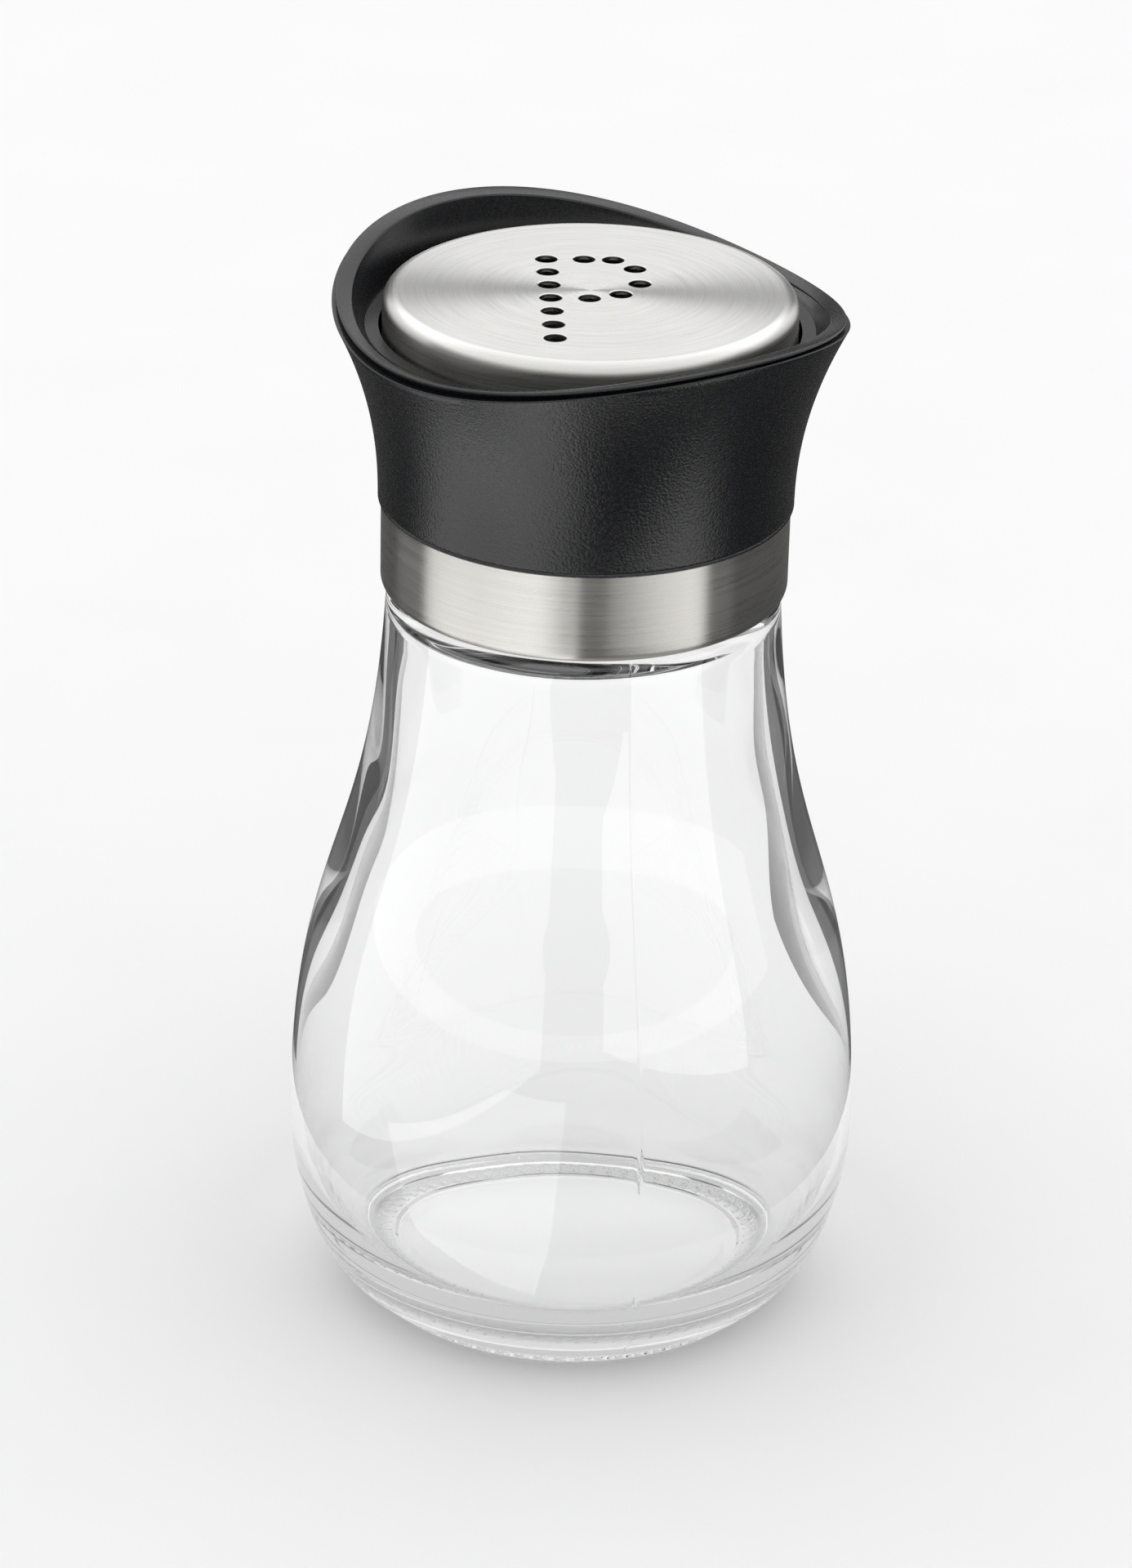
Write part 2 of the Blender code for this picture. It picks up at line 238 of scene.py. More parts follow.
# Moulded plastic
PLASTIC_CLOUDS = 60.0
PLASTIC_SPECULAR = 0.5
PLASTIC_BUMP = 0.5
ROUGHNESS_SPREAD = 0.06
GRAIN_TOP = 110 * MM
GRAIN_TOP_FADE = 2 * MM
LIP_GRAIN = 0.12
OVERHANG_SPAN = (-0.06, -0.01)

# Camera, fitted to the photograph
CAMERA_DISTANCE = 560 * MM
CAMERA_ELEVATION = math.radians(26.02)
CAMERA_ROLL = math.radians(1.4)
CAMERA_TARGET = Vector((-1.4 * MM, 0, 60.47 * MM))
CAMERA_LENS = 115.5
CAMERA_SENSOR = 36.0
CAMERA_CLIP = (0.01, 20)

# Table and cards
STAGE_STEPS = 96
STAGE_CLOUDS = 30.0
STAGE_ROUGHNESS = 0.9
TABLE_RADII = (0.1, 0.3, 1.0, 4.0)
TABLE_SHADES = (0.94, 0.955)
# Painted light on the table: an emitted glow under the foot and, fainter, beside and behind it
TABLE_GLOW = 0.55
RING_GLOW = 0.14
RING_GLOW_RADIUS = 40 * MM
RING_GLOW_BEHIND = 10 * MM
CLOTH_RADII = (0.06, 0.5)
CLOTH_HEIGHT = 0.5 * MM
CLOTH_SHADE = 0.08
CARD_SHADES = (0.9, 1.1)

# Room light, and how it shows in reflections; heights and sides are parts of a direction of length 1
ROOM_LIGHT = 1.02
ROOM_LOW_LIGHT = 0.12
ROOM_TOP_LIGHT = 1.5
ROOM_ZENITH_LIGHT = 1.0
ROOM_DIM_BELOW = 0.27
ROOM_BRIGHT_ABOVE = 0.5
ROOM_FADE_FROM = 0.62
ROOM_FADE_FULL = 0.86
ROOM_SIDE_FROM = 0.36
ROOM_SIDE_FULL = 0.5
ROOM_SIDE_SHARE = 0.6
ROOM_BACK_FULL = 0.2


# Outlines are lists of (radius, height) points

def bezier(start, start_handle, end_handle, end, count=CURVE_POINTS):
    knots = [Vector((r, 0, z)) for r, z in (start, start_handle, end_handle, end)]
    return [(point.x, point.z) for point in interpolate_bezier(*knots, count)]


def arc(centre, radius, start_degrees, end_degrees, steps=ARC_STEPS):
    points = []
    for index in range(steps + 1):
        angle = math.radians(start_degrees + (end_degrees - start_degrees) * index / steps)
        points.append((centre[0] + radius * math.cos(angle), centre[1] + radius * math.sin(angle)))
    return points


def line(start, end, steps):
    return [
        (start[0] + (end[0] - start[0]) * index / steps, start[1] + (end[1] - start[1]) * index / steps)
        for index in range(steps + 1)
    ]


def joined(*stretches):
    """One outline from stretches in order, with points that coincide kept once."""
    outline = []
    for stretch in stretches:
        for point in stretch:
            if not outline or math.dist(outline[-1], point) > SAME_POINT:
                outline.append(point)
    return outline


def smoothstep(low, high, value):
    share = min(max((value - low) / (high - low), 0.0), 1.0)
    return share * share * (3 - 2 * share)


# Meshes are rings of vertices round Z, skinned one to the next

def even_angles(count):
    return [FULL_TURN * index / count for index in range(count)]


def as_drawn(angle, radius, height):
    return radius, height


def add_ring(shape, angles, radius, height, place=as_drawn):
    """A ring of vertices; place gives the true radius and height at each angle."""
    ring = []
    for angle in angles:
        r, z = place(angle, radius, height)
        ring.append(shape.verts.new((r * math.cos(angle), r * math.sin(angle), z)))
    return ring


def add_rings(shape, angles, outline, place=as_drawn):
    return [add_ring(shape, angles, radius, height, place) for radius, height in outline]


def skin(shape, rings, closed=False):
    pairs = list(zip(rings, rings[1:]))
    if closed:
        pairs.append((rings[-1], rings[0]))
    for here, there in pairs:
        for index in range(len(here)):
            after = (index + 1) % len(here)
            shape.faces.new((here[index], here[after], there[after], there[index]))


def cap_ring(shape, ring, height):
    """Closes a ring with a fan of triangles round a point on the axis."""
    middle = shape.verts.new((0, 0, height))
    for index in range(len(ring)):
        shape.faces.new((ring[index], ring[(index + 1) % len(ring)], middle))


def zip_rings(shape, first, first_angles, second, second_angles):
    """Triangles between two rings whose vertices stand at different angles."""
    first_ends = first_angles[1:] + [FULL_TURN + first_angles[0]]
    second_ends = second_angles[1:] + [FULL_TURN + second_angles[0]]
    here, there = 0, 0
    while here < len(first) or there < len(second):
        a = first[here % len(first)]
        b = second[there % len(second)]
        second_done = there >= len(second)
        if second_done or (here < len(first) and first_ends[here] <= second_ends[there]):
            shape.faces.new((a, first[(here + 1) % len(first)], b))
            here += 1
        else:
            shape.faces.new((a, second[(there + 1) % len(second)], b))
            there += 1


def shade_smooth(shape):
    for face in shape.faces:
        face.smooth = True


def finish_piece(name, shape, body, node, finish):
    """Turns a closed shape into a piece that stands for a CAD node."""
    bmesh.ops.recalc_face_normals(shape, faces=shape.faces)
    mesh = bpy.data.meshes.new(name)
    shape.to_mesh(mesh)
    shape.free()
    mesh.materials.append(finish)
    piece = bpy.data.objects.new(name, mesh)
    bpy.context.scene.collection.objects.link(piece)
    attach(piece, body)
    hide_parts(node)
    return piece


# The glass jar

def jar_cavity():
    """The inside from the floor up to the neck's bore; the glass is thinnest at the belly."""
    floor_radius = FOOT_RADIUS - FLOOR_ROUND
    inner_belly = BELLY_RADIUS - BELLY_WALL
    floor = bezier(
        (floor_radius, FLOOR_HEIGHT),
        (floor_radius + FLOOR_HANDLE, FLOOR_HEIGHT),
        (inner_belly, BELLY_HEIGHT - FLOOR_HANDLE_UP),
        (inner_belly, BELLY_HEIGHT),
    )
    inner_shoulder = SHOULDER_RADIUS - SHOULDER_WALL
    roof = SHOULDER_HEIGHT - SHOULDER_ROOF
    round_centre = (inner_shoulder - INNER_SHOULDER_ROUND, roof - INNER_SHOULDER_ROUND)
    wall = bezier(
        (inner_belly, BELLY_HEIGHT),
        (inner_belly, BELLY_HEIGHT + INNER_BELLY_HANDLE),
        (inner_shoulder + INNER_SHOULDER_FLARE, round_centre[1] - INNER_SHOULDER_HANDLE),
        (inner_shoulder, round_centre[1]),
        2 * CURVE_POINTS,
    )
    neck = bezier(
        (round_centre[0], roof),
        ((round_centre[0] + NECK_BORE) / 2, roof),
        (NECK_BORE, (roof + SHOULDER_HEIGHT) / 2),
        (NECK_BORE, SHOULDER_HEIGHT),
        ARC_STEPS + 1,
    )
    flat_start = (floor_radius * FLOOR_FAN_SHARE, FLOOR_HEIGHT)
    return joined(
        line(flat_start, (floor_radius, FLOOR_HEIGHT), FLOOR_RINGS),
        floor,
        wall,
        arc(round_centre, INNER_SHOULDER_ROUND, 0, 90),
        neck,
    )


def jar_rim():
    top = SHOULDER_HEIGHT + NECK_HEIGHT - RIM_ROUND
    return joined(
        arc((NECK_BORE + RIM_ROUND, top), RIM_ROUND, 180, 90),
        arc((NECK_RADIUS - RIM_ROUND, top), RIM_ROUND, 90, 0),
    )


def jar_neck():
    """The neck's outside below the rim, before the thread is added."""
    top = SHOULDER_HEIGHT + NECK_HEIGHT - RIM_ROUND
    return line((NECK_RADIUS, top), (NECK_RADIUS, SHOULDER_HEIGHT + NECK_ROOT_ROUND), NECK_RINGS)[1:]


def jar_outside():
    """From the neck's root over the shoulder and belly to the edge of the foot."""
    root_centre = (NECK_RADIUS + NECK_ROOT_ROUND, SHOULDER_HEIGHT + NECK_ROOT_ROUND)
    side_top = SHOULDER_HEIGHT - SHOULDER_ROUND
    shoulder_centre = (SHOULDER_RADIUS - SHOULDER_ROUND, side_top)
    side = bezier(
        (SHOULDER_RADIUS, side_top),
        (SHOULDER_RADIUS + SHOULDER_FLARE, side_top - SHOULDER_HANDLE),
        (BELLY_RADIUS, BELLY_HEIGHT + BELLY_HANDLE_UP),
        (BELLY_RADIUS, BELLY_HEIGHT),
        2 * CURVE_POINTS,
    )
    heel = bezier(
        (BELLY_RADIUS, BELLY_HEIGHT),
        (BELLY_RADIUS, BELLY_HEIGHT - BELLY_HANDLE_DOWN),
        (FOOT_RADIUS + HEEL_STEP + HEEL_HANDLE, HEEL_HEIGHT),
        (FOOT_RADIUS + HEEL_STEP, HEEL_HEIGHT),
    )
    groove = arc((FOOT_RADIUS + HEEL_STEP, HEEL_HEIGHT - HEEL_STEP), HEEL_STEP, 90, 180)
    edge = arc((FOOT_RADIUS - FOOT_EDGE, FOOT_EDGE), FOOT_EDGE - KNURL_HEIGHT, 0, -90)
    edge = [(radius + KNURL_HEIGHT, height) for radius, height in edge]
    return joined(
        arc(root_centre, NECK_ROOT_ROUND, 180, 270)[1:],
        arc(shoulder_centre, SHOULDER_ROUND, 90, 0),
        side,
        heel,
        groove,
        edge,
    )


def jar_bearing():
    """The ring that the jar stands on, from its outer edge inward, before the ridges are added."""
    outer = (FOOT_RADIUS - FOOT_EDGE, KNURL_HEIGHT)
    return line(outer, (BEARING_INSIDE, KNURL_HEIGHT), BEARING_RINGS)[1:]


def jar_punt():
    """The shallow hollow under the jar, from the ring towards the middle."""
    return bezier(
        (BEARING_INSIDE - PUNT_EDGE, KNURL_HEIGHT + PUNT_STEP),
        (BEARING_INSIDE - PUNT_HANDLE, PUNT_RISE),
        (BEARING_INSIDE / 2, PUNT_RISE),
        (PUNT_FAN_RADIUS, PUNT_RISE),
        PUNT_POINTS,
    )


def thread_height(angle, height):
    """How far the neck's thread stands out at a point of the neck."""
    crest, root = THREAD_CREST_WIDTH / 2, THREAD_ROOT_WIDTH / 2
    end = FULL_TURN * THREAD_TURNS
    tallest = 0.0
    for turn in range(math.ceil(THREAD_TURNS)):
        along = angle + FULL_TURN * turn
        middle = SHOULDER_HEIGHT + THREAD_FIRST_HEIGHT + THREAD_PITCH * along / FULL_TURN
        fade = smoothstep(0, THREAD_FADE, along) * (1 - smoothstep(end - THREAD_FADE, end, along))
        slope = 1 - smoothstep(crest, root, abs(height - middle))
        tallest = max(tallest, THREAD_DEPTH * fade * slope)
    return tallest


def seam_height(angle):
    """The mould's two halves leave a fine ridge on opposite sides."""
    off = (angle - SEAM_ANGLE + math.pi / 2) % math.pi - math.pi / 2
    return SEAM_HEIGHT * math.exp(-(off * BELLY_RADIUS / SEAM_WIDTH) ** 2)


def inside_ripple(angle, height):
    """Slight unevenness of the blown inside, strongest under the shoulder."""
    extra = math.exp(-((height - RIPPLE_EXTRA_HEIGHT) / RIPPLE_EXTRA_REACH) ** 2)
    amount = RIPPLE + RIPPLE_EXTRA * extra
    amount *= smoothstep(FLOOR_HEIGHT, BELLY_HEIGHT, height) * (1 - smoothstep(*RIPPLE_ENDS, height))
    waves = [
        share * math.sin(lobes * angle + height / climb + start)
        for share, lobes, climb, start in RIPPLE_WAVES
    ]
    return amount * sum(waves)


def sag(angle, height):
    """How much lower the inner shoulder hangs on one side than on the other."""
    near = smoothstep(SHOULDER_HEIGHT - SAG_REACH, SHOULDER_HEIGHT - SHOULDER_ROOF, height)
    above = smoothstep(SHOULDER_HEIGHT - SHOULDER_ROOF, SHOULDER_HEIGHT + NECK_HEIGHT / 2, height)
    return near * (1 - above) * (SAG_SIDE * math.cos(angle - SAG_ANGLE) - SAG_LIFT)


def knurl_height(angle, radius):
    """Crescent ridges on the ring that the jar stands on."""
    cell = FULL_TURN / KNURLS
    across = ((angle / cell) % 1 - 0.5) * cell * radius
    along = radius - (BEARING_INSIDE + FOOT_RADIUS - FOOT_EDGE) / 2
    turn = math.atan2(along - KNURL_CENTRE_ALONG, across - KNURL_CENTRE_ACROSS)
    turn = min(max(turn, KNURL_FIRST_ANGLE), KNURL_LAST_ANGLE)
    near_across = KNURL_CENTRE_ACROSS + KNURL_RADIUS * math.cos(turn)
    near_along = KNURL_CENTRE_ALONG + KNURL_RADIUS * math.sin(turn)
    away = math.hypot(across - near_across, along - near_along)
    return KNURL_HEIGHT * (1 - smoothstep(0, KNURL_HALF_WIDTH, away))


def uneven(angle, radius, height):
    return radius + inside_ripple(angle, height), height - sag(angle, height)


def threaded(angle, radius, height):
    return radius + thread_height(angle, height), height


def seamed(angle, radius, height):
    return radius + seam_height(angle), height


def knurled(angle, radius, height):
    return radius, height - knurl_height(angle, radius)


def jar_angles():
    """Even steps, with closer ones at the mould seams."""
    width = SEAM_WIDTH / BELLY_RADIUS
    close = [step * width for step in SEAM_STEPS]
    seams = [(SEAM_ANGLE + half + step) % FULL_TURN for half in (0, math.pi) for step in close]
    kept = [
        angle for angle in even_angles(TURN_STEPS)
        if all(abs(angle - seam) > width for seam in seams)
    ]
    return sorted(kept + seams)


def make_jar(finish):
    shape = bmesh.new()
    angles = jar_angles()
    walls = [
        *add_rings(shape, angles, jar_cavity(), uneven),
        *add_rings(shape, angles, jar_rim()),
        *add_rings(shape, angles, jar_neck(), threaded),
        *add_rings(shape, angles, jar_outside(), seamed),
    ]
    skin(shape, walls)
    cap_ring(shape, walls[0], FLOOR_HEIGHT)

    fine_angles = even_angles(KNURLS * KNURL_STEPS)
    bearing = add_rings(shape, fine_angles, jar_bearing(), knurled)
    zip_rings(shape, walls[-1], angles, bearing[0], fine_angles)
    skin(shape, bearing)

    punt = add_rings(shape, angles, jar_punt())
    zip_rings(shape, bearing[-1], fine_angles, punt[0], angles)
    skin(shape, punt)
    cap_ring(shape, punt[-1], PUNT_RISE)
    shade_smooth(shape)
    finish_piece("jar_glass", shape, "jar", "glass_jar", finish)


# The steel cap with its sprinkle holes

def cap_outline():
    """From the disc's edge down the outside, round the curled hem, and up the inside."""
    edge_centre = (CAP_RADIUS - CAP_EDGE, CAP_TOP - CAP_EDGE)
    hem_centre = (CAP_RADIUS - HEM_ROUND, CAP_SEAT + HEM_ROUND)
    hem_end = CAP_RADIUS - HEM_WIDTH
    return joined(
        arc(edge_centre, CAP_EDGE, 90, 0),
        line((CAP_RADIUS, CAP_TOP - CAP_EDGE), (CAP_RADIUS, CAP_SEAT + HEM_ROUND), SKIRT_RINGS),
        arc(hem_centre, HEM_ROUND, 0, -90),
        [(hem_end, CAP_SEAT), (hem_end, CAP_SEAT + STEEL)],
        arc(hem_centre, HEM_ROUND - STEEL, -90, 0),
        arc(edge_centre, CAP_EDGE - STEEL, 0, 90),
    )


def hole_outline():
    """A hole's rounded upper edge and its wall."""
    edge_centre = (HOLE_RADIUS + HOLE_EDGE, CAP_TOP - HOLE_EDGE)
    edge = arc(edge_centre, HOLE_EDGE, 90, 180, HOLE_EDGE_STEPS)
    return joined(edge, [(HOLE_RADIUS, CAP_TOP - STEEL)])


def hole_places():
    """Middles of the holes: a straight stem, and a bowl to the right of its upper half."""
    stem = [(0, index) for index in range(STEM_HOLES)]
    top = Vector((-STEM_OFFSET, STEM_TOP))
    pattern = Matrix.Rotation(PATTERN_TURN, 2)
    steps = [Vector((right, -down)) for right, down in [*stem, *BOWL_STEPS]]
    return [pattern @ (top + HOLE_SPACING * step) for step in steps]


def ring_edges(ring):
    """The edges that join a ring's neighbours."""
    edges = []
    for index, vertex in enumerate(ring):
        after = ring[(index + 1) % len(ring)]
        edges.append(next(edge for edge in vertex.link_edges if edge.other_vert(vertex) is after))
    return edges


def fill_flat(shape, edges):
    """Fills the face inside the outer ring and round the holes, and keeps it flat in shading."""
    filled = bmesh.ops.triangle_fill(shape, use_beauty=True, use_dissolve=False, edges=edges)
    for part in filled["geom"]:
        if isinstance(part, bmesh.types.BMFace):
            part.smooth = False


def make_steel_cap(finish):
    shape = bmesh.new()
    rings = add_rings(shape, even_angles(TURN_STEPS), cap_outline())
    skin(shape, rings)
    upper_edges, lower_edges = ring_edges(rings[0]), ring_edges(rings[-1])
    for place in hole_places():
        hole = add_rings(shape, even_angles(HOLE_STEPS), hole_outline())
        corners = [vertex for ring in hole for vertex in ring]
        bmesh.ops.translate(shape, verts=corners, vec=(place.x, place.y, 0))
        skin(shape, hole)
        upper_edges += ring_edges(hole[0])
        lower_edges += ring_edges(hole[-1])
    shade_smooth(shape)
    fill_flat(shape, upper_edges)
    fill_flat(shape, lower_edges)
    finish_piece("cap_steel", shape, "cap", "steel_cap", finish)


# The collar

def collar_flare(ledge_radius, ledge):
    """The bell-shaped outside, from under the ledge down to the grooved edge at the foot."""
    tall = ledge - COLLAR_EDGE - COLLAR_FOOT - COLLAR_EDGE
    rises = [1 - index / FLARE_POINTS for index in range(FLARE_POINTS)]
    rises += [FOOT_BEAD * step / BEAD_STEPS / tall for step in range(BEAD_STEPS, -1, -1)]
    flare = []
    for rise in rises:
        above = COLLAR_EDGE + tall * rise
        groove = GROOVE_DEPTH * math.exp(-((above - GROOVE_HEIGHT) / GROOVE_WIDTH) ** 2)
        radius = COLLAR_FOOT_RADIUS + (ledge_radius - COLLAR_FOOT_RADIUS) * rise ** FLARE_POWER
        flare.append((radius - groove, COLLAR_FOOT + above))
    return flare


def collar_section(angle):
    """Cross-section at one angle, from the dish's floor over the lip, down the outside and up the bore."""
    wave = math.cos(2 * (angle - WAVE_ANGLE))
    tilt = TILT * math.cos(angle - TILT_ANGLE)
    ledge_radius = LEDGE_RADIUS + LEDGE_RADIUS_WAVE * wave
    ledge = LEDGE_HEIGHT + LEDGE_HEIGHT_WAVE * wave + tilt
    lip = LIP_HEIGHT + LIP_HEIGHT_WAVE * wave + tilt
    step_radius = STEP_RADIUS + STEP_RADIUS_WAVE * wave
    lip_inside = LIP_INSIDE + LIP_INSIDE_WAVE * wave
    inside_lip = lip - LIP_FALL
    dish_foot = (DISH_FLOOR_RADIUS, DISH_FLOOR_HEIGHT + DISH_ROUND)
    undercut = (step_radius - STEP_UNDERCUT, ledge)
    edge_radius = ledge_radius - COLLAR_EDGE
    return joined(
        [(COLLAR_BORE, DISH_FLOOR_HEIGHT), (DISH_FLOOR_RADIUS - DISH_ROUND, DISH_FLOOR_HEIGHT)],
        line(dish_foot, (lip_inside, inside_lip - LIP_ROUND), DISH_WALL_STEPS),
        arc((lip_inside + LIP_ROUND, inside_lip - LIP_ROUND), LIP_ROUND, 180, 90, LIP_ROUND_STEPS),
        arc((step_radius - LIP_ROUND, lip - LIP_ROUND), LIP_ROUND, 90, 0, LIP_ROUND_STEPS),
        line((step_radius, lip - LIP_ROUND), undercut, UNDERCUT_STEPS),
        line(undercut, (edge_radius, ledge), LEDGE_STEPS),
        arc((edge_radius, ledge - COLLAR_EDGE), COLLAR_EDGE, 90, 0, COLLAR_EDGE_STEPS),
        collar_flare(ledge_radius, ledge),
        [(COLLAR_FOOT_RADIUS - COLLAR_EDGE, COLLAR_FOOT), (COLLAR_FOOT_BORE, COLLAR_FOOT)],
        [(COLLAR_FOOT_BORE, COLLAR_FOOT + BORE_RAMP), (COLLAR_BORE, COLLAR_FOOT + 2 * BORE_RAMP)],
    )


def make_collar(finish):
    shape = bmesh.new()
    sections = []
    for angle in even_angles(TURN_STEPS):
        cos, sin = math.cos(angle), math.sin(angle)
        sections.append([shape.verts.new((r * cos, r * sin, z)) for r, z in collar_section(angle)])
    skin(shape, sections, closed=True)
    shade_smooth(shape)
    piece = finish_piece("collar_ring", shape, "cap", "collar", finish)
    piece.data.set_sharp_from_angle(angle=SHARP_ANGLE)


# Materials

class Nodes:
    """Short ways to add and join the nodes of a material or a world."""

    def __init__(self, owner, surface="Principled BSDF"):
        owner.use_nodes = True
        self.owner = owner
        self.tree = owner.node_tree
        self.surface = self.tree.nodes[surface]

    def add(self, kind, **settings):
        node = self.tree.nodes.new(kind)
        for key, value in settings.items():
            setattr(node, key, value)
        return node

    def give(self, socket, value):
        """Joins a node's output to a socket, or sets the socket to a plain value."""
        if isinstance(value, bpy.types.NodeSocket):
            self.tree.links.new(value, socket)
        else:
            socket.default_value = value

    def set(self, **values):
        """Gives values to the shader's own sockets."""
        for key, value in values.items():
            self.give(self.surface.inputs[key.replace("_", " ")], value)

    def place(self):
        return self.add("ShaderNodeTexCoord").outputs["Object"]

    def split(self, vector):
        node = self.add("ShaderNodeSeparateXYZ")
        self.give(node.inputs[0], vector)
        return node.outputs

    def math(self, operation, *values):
        node = self.add("ShaderNodeMath", operation=operation)
        for socket, value in zip(node.inputs, values):
            self.give(socket, value)
        return node.outputs[0]

    def radius(self, x, y):
        squares = self.math("ADD", self.math("MULTIPLY", x, x), self.math("MULTIPLY", y, y))
        return self.math("SQRT", squares)

    def blend(self, fine, broad):
        """A finer and a broader noise, weighed together."""
        return self.math(
            "ADD",
            self.math("MULTIPLY", fine, FINE_SHARE),
            self.math("MULTIPLY", broad, 1 - FINE_SHARE),
        )

    def ramp(self, value, low, high, start, end, shape="LINEAR"):
        """Maps start..end of a value to low..high."""
        node = self.add("ShaderNodeMapRange", interpolation_type=shape)
        self.give(node.inputs["Value"], value)
        self.give(node.inputs["From Min"], start)
        self.give(node.inputs["From Max"], end)
        self.give(node.inputs["To Min"], low)
        self.give(node.inputs["To Max"], high)
        return node.outputs[0]

    def step(self, value, start, end):
        """Rises smoothly from 0 to 1 between start and end."""
        return self.ramp(value, 0.0, 1.0, start, end, "SMOOTHSTEP")

    def tint(self, value, dark, light, start, end):
        """Maps start..end of a value to a range of colours."""
        node = self.add("ShaderNodeValToRGB")
        self.give(node.inputs["Fac"], value)
        first, last = node.color_ramp.elements
        first.position, first.color = start, (*dark, 1)
        last.position, last.color = end, (*light, 1)
        return node.outputs[0]

    def scaled(self, colour, share):
        node = self.add("ShaderNodeVectorMath", operation="SCALE")
        self.give(node.inputs[0], colour)
        self.give(node.inputs["Scale"], share)
        return node.outputs[0]

    def mixed(self, share, first, second):
        node = self.add("ShaderNodeMixRGB")
        for socket, value in zip(node.inputs, (share, first, second)):
            self.give(socket, value)
        return node.outputs[0]

    def noise(self, vector, scale, detail=2.0, w=None):
        node = self.add("ShaderNodeTexNoise", noise_dimensions="3D" if w is None else "4D")
        self.give(node.inputs["Vector"], vector)
        if w is not None:
            self.give(node.inputs["W"], w)
        self.give(node.inputs["Scale"], scale)
        self.give(node.inputs["Detail"], detail)
        return node.outputs["Fac"]

    def bump(self, height, strength, distance):
        node = self.add("ShaderNodeBump")
        self.give(node.inputs["Strength"], strength)
        self.give(node.inputs["Distance"], distance)
        self.give(node.inputs["Height"], height)
        self.set(Normal=node.outputs["Normal"])


def glass_material():
    """Clear glass with a painted glow: rays caught inside it end on painted light, pale near the foot,
    dark near the black liner and dimmer at the ring of ridges.
    """
    nodes = Nodes(bpy.data.materials.new("clear_glass"))
    place = nodes.place()
    x, y, z = nodes.split(place)
    nodes.set(
        Base_Color=nodes.tint(nodes.noise(place, GLASS_CLOUDS), *GLASS_TINTS, *NOISE_SPAN),
        Roughness=0.0,
        IOR=GLASS_IOR,
        Transmission_Weight=1.0,
    )
    # Painted glow: its level falls with height and is shaded at the ring of ridges
    by_height = nodes.ramp(
        z, TRAPPED_LIGHT_LOW, TRAPPED_LIGHT_HIGH, TRAPPED_LOW_UNTIL, TRAPPED_HIGH_FROM
    )
    off_ring = nodes.math("SUBTRACT", nodes.radius(x, y), (BEARING_INSIDE + FOOT_RADIUS) / 2)
    ring_painted_shade = nodes.ramp(nodes.math("ABSOLUTE", off_ring), KNURL_SHADE, 1.0, *KNURL_SHADE_SPAN)
    light = nodes.math("MULTIPLY", by_height, ring_painted_shade)
    depth = nodes.add("ShaderNodeLightPath").outputs["Glossy Depth"]
    caught = nodes.math("GREATER_THAN", depth, LAST_REFLECTION)
    nodes.set(Emission_Color=WHITE, Emission_Strength=nodes.math("MULTIPLY", caught, light))
    return nodes.owner


def brush_lines(nodes, x, y, z, out):
    """Noise drawn out into lines round the axis, fine up the side and across the top."""
    along = nodes.add("ShaderNodeCombineXYZ")
    for socket, part in zip(along.inputs, (x, y)):
        nodes.give(socket, nodes.math("DIVIDE", part, nodes.math("ADD", out, AXIS_ROOM)))
    nodes.give(along.inputs[2], nodes.math("MULTIPLY", z, BRUSH_LINES))
    across = nodes.math("MULTIPLY", out, BRUSH_LINES)
    fine = nodes.noise(along.outputs[0], *BRUSH_FINE, across)
    broad = nodes.noise(along.outputs[0], *BRUSH_BROAD, across)
    return nodes.blend(fine, broad)


def steel_material():
    """Brushed steel; its top is painted paler than the side as painted light, and painted shade darkens it
    inside the collar and in the holes.
    """
    nodes = Nodes(bpy.data.materials.new("brushed_steel"))
    x, y, z = nodes.split(nodes.place())
    out = nodes.radius(x, y)
    lines = brush_lines(nodes, x, y, z, out)
    # Painted shade: the side is darker inside the collar
    collar_painted_shade = nodes.ramp(z, 1.0, SKIRT_SHADE, DISH_FLOOR_HEIGHT - STEEL, DISH_FLOOR_HEIGHT)
    side_colour = nodes.scaled(nodes.tint(lines, *STEEL_SIDE_TINTS, *BRUSH_SPAN), collar_painted_shade)
    top_colour = nodes.tint(lines, *STEEL_TOP_TINTS, *BRUSH_SPAN)
    # Painted light: the paler top colour runs down the rounded edge and sets how bright its highlight is
    top_painted_light = nodes.ramp(z, 0.0, 1.0, *(CAP_TOP - below for below in TOP_COLOUR_SPAN))
    colour = nodes.mixed(top_painted_light, side_colour, top_colour)
    disc = CAP_RADIUS - CAP_EDGE
    # Painted shade in the holes' walls and under the disc, kept off the rounded edge
    hole_painted_shade = nodes.ramp(z, HOLE_SHADE, 1.0, CAP_TOP - HOLE_EDGE, CAP_TOP - HOLE_EDGE / 3)
    off_disc = nodes.ramp(out, 0.0, 1.0, disc - 2 * HOLE_EDGE, disc)
    nodes.set(
        Base_Color=nodes.scaled(colour, nodes.math("MAXIMUM", hole_painted_shade, off_disc)),
        Roughness=nodes.ramp(lines, *STEEL_ROUGHNESS, *BRUSH_SPAN),
        Metallic=1.0,
        Anisotropic=STEEL_ANISOTROPY,
        Anisotropic_Rotation=BRUSH_TURN,
        Tangent=nodes.add("ShaderNodeTangent", direction_type="RADIAL", axis="Z").outputs[0],
    )
    nodes.bump(lines, BRUSH_BUMP, BRUSH_DEPTH)
    return nodes.owner


